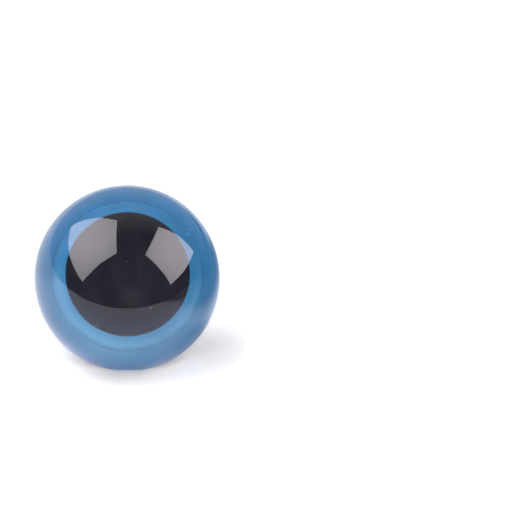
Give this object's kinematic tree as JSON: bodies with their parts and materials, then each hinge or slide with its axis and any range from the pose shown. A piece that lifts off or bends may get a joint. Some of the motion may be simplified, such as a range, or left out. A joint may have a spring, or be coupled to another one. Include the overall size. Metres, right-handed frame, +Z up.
{
  "type": "safety eye",
  "caption": "Clear half-ball toy eye with a blue painted back, a black pupil, a ribbed shank and a press-on lock washer.",
  "frame": {"origin": "under the middle of the eye, on the table that it lies on", "axes": "+Z up from the table, -Y towards the side that the face looks at, +X to the right of the face as seen from the front"},
  "size_m": [0.024, 0.0242, 0.0218],
  "materials": {
    "clear_plastic": "polished clear moulding",
    "blue_coat": "even blue paint seen through the clear dome",
    "black_plastic": "moulded, semi-gloss",
    "washer_plastic": "moulded, satin"
  },
  "bodies": {
    "root": {"dome_lens": "clear_plastic", "iris_coat": "blue_coat", "pupil_shank": "black_plastic", "lock_washer": "washer_plastic"}
  },
  "joints": []
}
